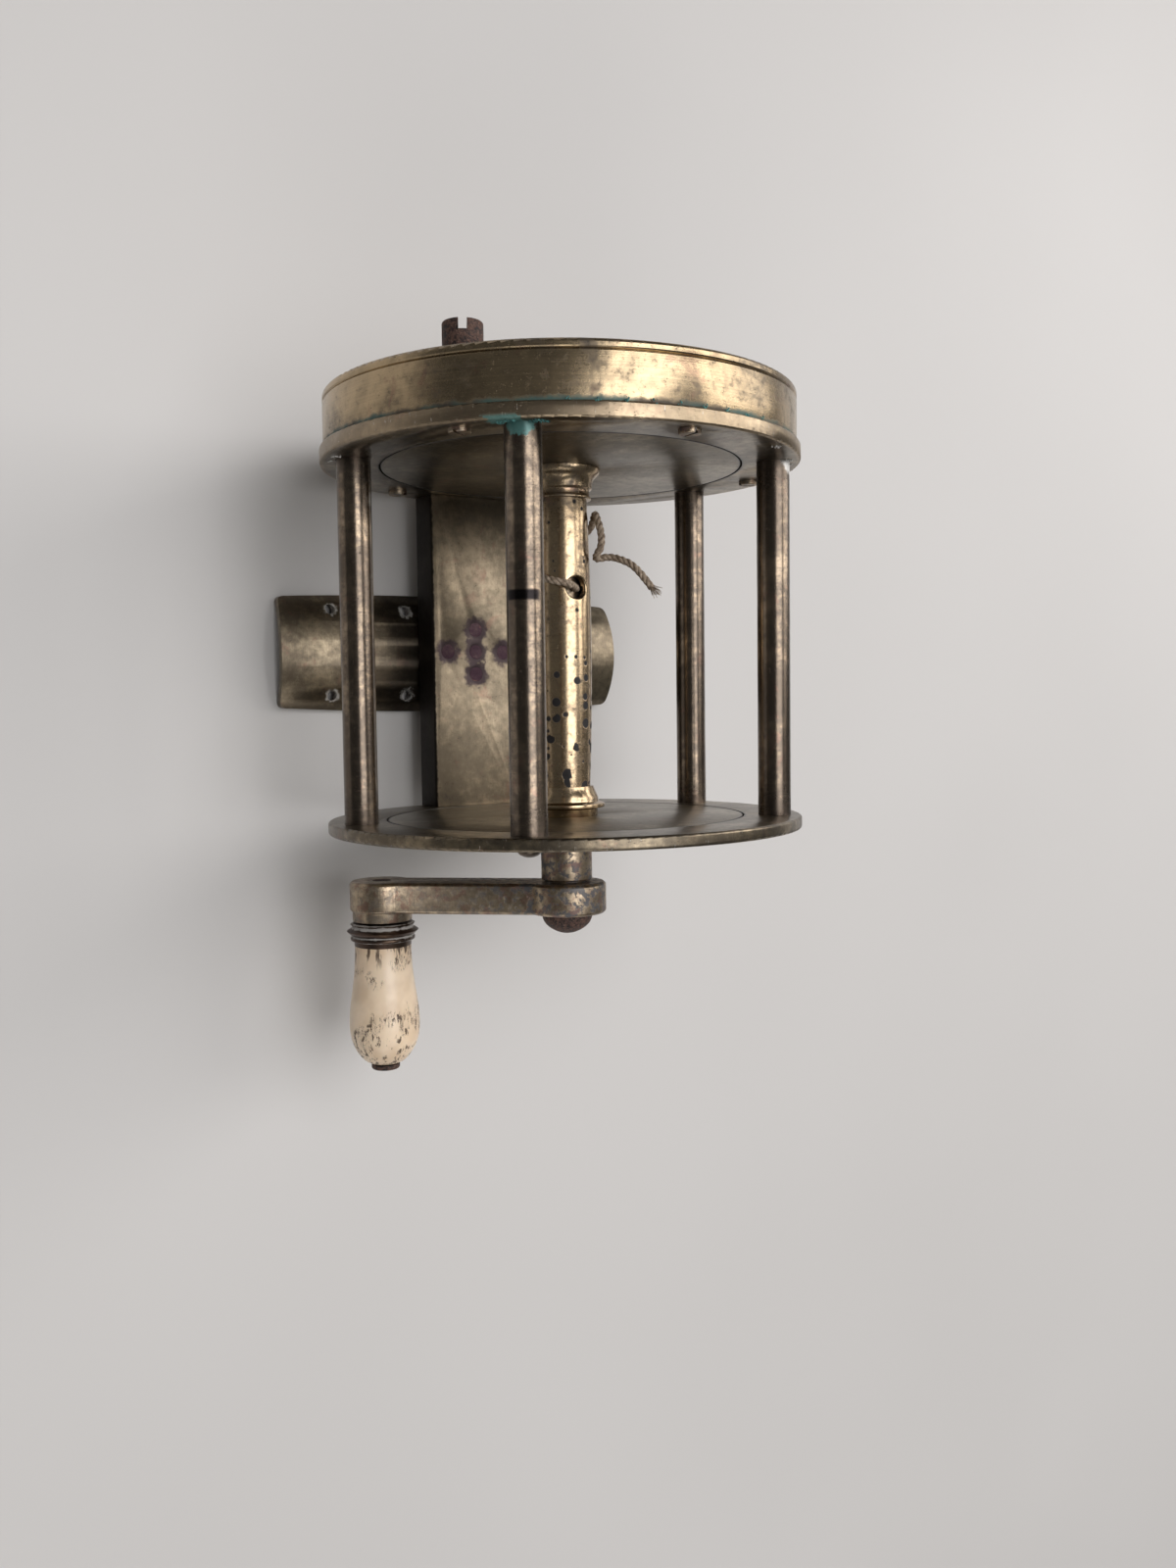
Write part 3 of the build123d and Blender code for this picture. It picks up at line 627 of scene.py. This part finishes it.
def lay_twine():
    line, path = twine_line()
    shape = Shape("twine", Strand_offset=0.29 * MM, Strand_radius=0.33 * MM, Turns=17, Step=0.16 * MM)
    fine = shape.node("GeometryNodeResampleCurve", {"mode": "LENGTH"}, Curve=shape.start, Length=shape.size("Step"))
    tangent = shape.node("GeometryNodeInputTangent")
    normal = shape.node("GeometryNodeInputNormal")
    side = shape.vector("CROSS_PRODUCT", tangent, normal)
    along = shape.node("GeometryNodeSplineParameter")
    join = shape.tree.nodes.new("GeometryNodeJoinGeometry")
    profile = shape.node("GeometryNodeCurvePrimitiveCircle", Resolution=8, Radius=shape.size("Strand_radius"))
    for k in range(3):
        turn = shape.math("MULTIPLY", shape.math("MULTIPLY", along, shape.size("Turns")), 2 * math.pi)
        turn = shape.math("ADD", turn, k * 2 * math.pi / 3)
        offset = shape.size("Strand_offset")
        across = shape.vector("SCALE", normal, scale=shape.math("MULTIPLY", shape.math("COSINE", turn), offset))
        aside = shape.vector("SCALE", side, scale=shape.math("MULTIPLY", shape.math("SINE", turn), offset))
        wound = shape.node("GeometryNodeSetPosition", Geometry=fine, Offset=shape.vector("ADD", across, aside))
        strand = shape.node("GeometryNodeCurveToMesh", Curve=wound, Profile_Curve=profile, Fill_Caps=True)
        shape.tree.links.new(strand, join.inputs[0])
    real = shape.node("GeometryNodeRealizeInstances", Geometry=join.outputs[0])
    linen = fibre()
    modifier_piece = link("twine", line.data)
    painted = shape.node("GeometryNodeSetMaterial", Geometry=real, Material=linen)
    outlet = shape.tree.nodes.new("NodeGroupOutput")
    shape.tree.links.new(painted, outlet.inputs[0])
    modifier = modifier_piece.modifiers.new("twine", "NODES")
    modifier.node_group = shape.tree
    for socket, value in shape.keys.values():
        modifier[socket.identifier] = value
    mesh = bpy.data.meshes.new_from_object(modifier_piece.evaluated_get(bpy.context.evaluated_depsgraph_get()))
    bpy.data.objects.remove(modifier_piece)
    bpy.data.objects.remove(line)
    mesh.shade_smooth()
    twine = link("twine_strands", mesh)
    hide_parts("twine")
    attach(twine, "spool")
    return path, linen


twine_path, linen = lay_twine()

# %% [markdown]
# ## Crumbs of old dirt, and the twine's frayed end
#
# Verdigris and polish dry to small crusts. Points are scattered on a ring of
# small patches, and a lumpy ball stands on each. The frayed end is a bundle of
# curved hairs that start on one point and spread.

# %% Crumbs
def scatter_crumbs(name, patches, material, size_mm, per_mm2, seed):
    """Small lumps over discs. A patch is its middle, its facing and its radius in mm."""
    ground = bmesh.new()
    for middle, facing, radius in patches:
        turn = Vector((0, 0, 1)).rotation_difference(Vector(facing)).to_matrix().to_4x4()
        bmesh.ops.create_circle(ground, cap_ends=True, segments=16, radius=radius * MM,
                                matrix=Matrix.Translation(middle) @ turn)
    patch_mesh = bpy.data.meshes.new(name)
    ground.to_mesh(patch_mesh)
    ground.free()
    shape = Shape(name, Crumb_size=size_mm * MM, Density=per_mm2 * 1.0e6, Seed=seed)
    dots = shape.node("GeometryNodeDistributePointsOnFaces", Mesh=shape.start, Density=shape.size("Density"),
                      Seed=shape.size("Seed"))
    ball = shape.node("GeometryNodeMeshIcoSphere", Radius=shape.size("Crumb_size"), Subdivisions=2)
    size = shape.node("FunctionNodeRandomValue", {"data_type": "FLOAT"}, out=1, _2=0.35, _3=1.0,
                      Seed=shape.size("Seed"))
    turn = shape.node("FunctionNodeRandomValue", {"data_type": "FLOAT_VECTOR"}, _0=(0.0, 0.0, 0.0),
                      _1=(6.3, 6.3, 6.3), Seed=7)
    put = shape.node("GeometryNodeInstanceOnPoints", Points=dots, Instance=ball, Rotation=turn, Scale=size)
    put = shape.node("GeometryNodeRealizeInstances", Geometry=put)
    lumps = shape.node("ShaderNodeTexNoise", Vector=shape.node("GeometryNodeInputPosition"), Scale=2600.0,
                       Detail=1.0)
    push = shape.math("MULTIPLY", shape.math("SUBTRACT", lumps, 0.5), shape.size("Crumb_size"))
    shift = shape.vector("SCALE", shape.node("GeometryNodeInputNormal"), scale=push)
    put = shape.node("GeometryNodeSetPosition", Geometry=put, Offset=shift)
    return shape.grow(link(name, patch_mesh), put, material)


def crust(name, light, dark):
    f = Finish(name)
    return f.surface(f.blend(f.between(f.noise(2.0, 3.0), 0.35, 0.65), dark, light), 0.85, 0.0)


green_crust = crust("verdigris", (0.10, 0.30, 0.28), (0.03, 0.09, 0.09))
white_crust = crust("dried polish", (0.66, 0.65, 0.62), (0.34, 0.32, 0.30))
BY_THE_PILLAR = ((-44, 35.9), (-42, 36.7), (-36.5, 36.5), (-35, 35.9))  # angle, distance from the spindle
green_spots = [(at_angle(angle, far, 27.75), (0, -1, 0), 0.9) for angle, far in BY_THE_PILLAR]
for angle in range(-30, 24, 6):
    green_spots.append((at_angle(angle, 37.85, 30.2), at_angle(angle, 1, 0) - at_angle(0, 0, 0), 0.5))
white_spots = [(at_angle(angle, 36.2, 27.75), (0, -1, 0), 0.8) for angle in (48.0, 54.5, -106.7, -100.1, 30.5)]
for name, spots, material, seed in (
    ("green_crumbs", green_spots, green_crust, 3),
    ("white_crumbs", white_spots, white_crust, 8),
):
    crumbs = scatter_crumbs(name, spots, material, 0.16, 9.0, seed)
    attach(crumbs, "frame")

# %% Frayed end
def fray(path, material):
    """Hairs that spread from the twine's last point."""
    rng = random.Random(11)
    end, way = path[-1], (path[-1] - path[-6]).normalized()
    side = way.cross(Vector((0, 1, 0))).normalized()
    up = side.cross(way)
    data = bpy.data.curves.new("fray lines", "CURVE")
    data.dimensions = "3D"
    for _ in range(34):
        turn, lean, reach = rng.uniform(0, 2 * math.pi), rng.uniform(0.05, 0.55), rng.uniform(0.9, 2.1) * MM
        out = (side * math.cos(turn) + up * math.sin(turn)) * lean
        start = end - way * 0.9 * MM + out * 0.55 * MM
        spline = data.splines.new("POLY")
        spline.points.add(4)
        for k, point in enumerate(spline.points):
            t = k / 4
            spot = start + way * (reach * t + 0.6 * MM * t) + out * reach * t * (0.5 + t)
            point.co = (*spot, 1)
    shape = Shape("fray", Hair_radius=0.05 * MM)
    profile = shape.node("GeometryNodeCurvePrimitiveCircle", Resolution=5, Radius=shape.size("Hair_radius"))
    hairs = shape.node("GeometryNodeCurveToMesh", Curve=shape.start, Profile_Curve=profile, Fill_Caps=True)
    painted = shape.node("GeometryNodeSetMaterial", Geometry=hairs, Material=material)
    outlet = shape.tree.nodes.new("NodeGroupOutput")
    shape.tree.links.new(painted, outlet.inputs[0])
    lines = link("fray lines", data)
    modifier = lines.modifiers.new("fray", "NODES")
    modifier.node_group = shape.tree
    for socket, value in shape.keys.values():
        modifier[socket.identifier] = value
    mesh = bpy.data.meshes.new_from_object(lines.evaluated_get(bpy.context.evaluated_depsgraph_get()))
    bpy.data.objects.remove(lines)
    piece = link("twine_fray", mesh)
    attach(piece, "spool")
    print("frayed hairs:", 34)


fray(twine_path, linen)

# %% [markdown]
# ## Worn edges
#
# A maker files every edge, and a century of thumbs rounds it further. The
# parts come with crisp edges, so each visible one gets a copy whose edges are
# bevelled. The loose triangles are welded and flat areas joined first, so that
# the bevel meets clean edges.

# %% Rounding the edges of the parts
def worn(node, edge, material, slot, steps=2):
    """A copy of a part with its edges rounded, that stands for it."""
    mesh = frame["nodes"][node].data.copy()
    shell = bmesh.new()
    shell.from_mesh(mesh)
    bmesh.ops.remove_doubles(shell, verts=shell.verts, dist=0.002 * MM)
    bmesh.ops.dissolve_limit(shell, angle_limit=math.radians(0.6), verts=shell.verts, edges=shell.edges)
    shell.to_mesh(mesh)
    shell.free()
    piece = link(node + "_worn", mesh)
    if edge:
        bevel = piece.modifiers.new("edges", "BEVEL")
        bevel.width, bevel.segments, bevel.limit_method = edge * MM, steps, "ANGLE"
        bevel.angle_limit = math.radians(40)
        mesh = settle(piece)
    mesh.shade_smooth()
    mesh.set_sharp_from_angle(angle=math.radians(32))
    mesh.materials.clear()
    mesh.materials.append(material)
    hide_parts(node)
    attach(piece, BODY_OF[node])
    return piece


for node, edge, material, slot in (
    ("back_plate", 0.12, plate_brass, "brass"),
    ("front_plate", 0.12, plate_brass, "brass"),
    ("foot_block", 0.3, block_brass, "brass"),
    ("foot_saddle", 0.2, foot_brass, "brass"),
    ("check_case", 0.1, case_brass, "brass"),
    ("case_lid", 0.1, case_brass, "brass"),
    ("front_bush", 0.1, crank_brass, "brass"),
    ("arbor", 0.0, arbor_brass, "brass"),
    ("arbor_collar_front", 0.08, collar_brass, "brass"),
    ("arbor_collar_back", 0.08, collar_brass, "brass"),
    ("spool_flange_front", 0.08, spool_brass, "brass"),
    ("spool_flange_back", 0.08, spool_brass, "brass"),
    ("crank_arm", 0.25, crank_brass, "brass_worn"),
    ("knob_ferrule", 0.06, ferrule_brass, "brass"),
    ("check_pivot_screw", 0.15, rusty_iron, "iron"),
    ("crank_screw", 0.0, rusty_iron, "iron"),
    ("knob_pin", 0.0, rusty_iron, "iron"),
    ("knob_grip", 0.0, old_bone, "bone"),
    ("spindle", 0.0, crank_brass, "brass"),
):
    piece = worn(node, edge, material, slot)
    print(piece.name, len(piece.data.polygons), "faces")

# %% Materials on the parts that stay as they came
for node, material in (
    ("back_bush", plate_brass), ("ratchet_wheel", spool_brass), ("ratchet_nut", crank_brass),
    ("check_pawl", crank_brass), ("spring_post", crank_brass), ("check_spring", rusty_iron),
    *((f"case_screw_{k}", crank_brass) for k in (1, 2, 3, 4)),
    *((f"foot_rivet_{k}", rivet_brass) for k in ("middle", "left", "right", "back", "front")),
):
    mesh = frame["nodes"][node].data
    mesh.materials.clear()
    mesh.materials.append(material)

# %% [markdown]
# ## The table and the light
#
# A pale, plain table and a grey sky give brass something calm to mirror. One
# wide lamp to the right throws the long soft shadow to the left.

# %% Table
def table_top():
    f = Finish("table")
    clouds = f.noise(0.006, 2.0)
    colour = f.blend(f.between(clouds, 0.3, 0.7), (0.585, 0.57, 0.555), (0.615, 0.60, 0.585))
    return f.surface(colour, 0.55, 0.0)


floor = bmesh.new()
bmesh.ops.create_grid(floor, x_segments=1, y_segments=1, size=1.5)
bmesh.ops.translate(floor, verts=floor.verts, vec=(0, 0, cad_box[0][2]))
floor_mesh = bpy.data.meshes.new("table")
floor.to_mesh(floor_mesh)
table = link("table", floor_mesh)
floor_mesh.materials.append(table_top())


def lamp(name, spot, aim_at, width, height, watts, tint=(1, 1, 1)):
    """A soft box at spot, facing aim_at."""
    light = bpy.data.objects.new(name, bpy.data.lights.new(name, "AREA"))
    light.data.shape, light.data.size, light.data.size_y = "RECTANGLE", width, height
    light.data.energy, light.data.color = watts, tint
    light.location = spot
    light.rotation_euler = (Vector(aim_at) - Vector(spot)).to_track_quat("-Z", "Y").to_euler()
    bpy.context.scene.collection.objects.link(light)


lamp("window", (0.85, 0.30, 0.62), (0, 0, 0.03), 0.5, 0.9, 5.2, (1.0, 0.97, 0.95))
lamp("fill", (-0.25, -0.95, 0.55), (0, 0, 0.03), 0.7, 0.7, 2.6, (1.0, 0.98, 0.96))
lamp("ceiling", (0.06, 0.15, 1.1), (0, 0, 0.03), 0.7, 1.0, 8.6, (1.0, 0.99, 1.0))
sky = bpy.data.worlds.new("sky")
bpy.context.scene.world = sky
sky.use_nodes = True
sky.node_tree.nodes["Background"].inputs["Color"].default_value = (0.80, 0.80, 0.79, 1)
sky.node_tree.nodes["Background"].inputs["Strength"].default_value = 0.15
bpy.context.scene.view_settings.view_transform = "Standard"
print("lamps: 3")
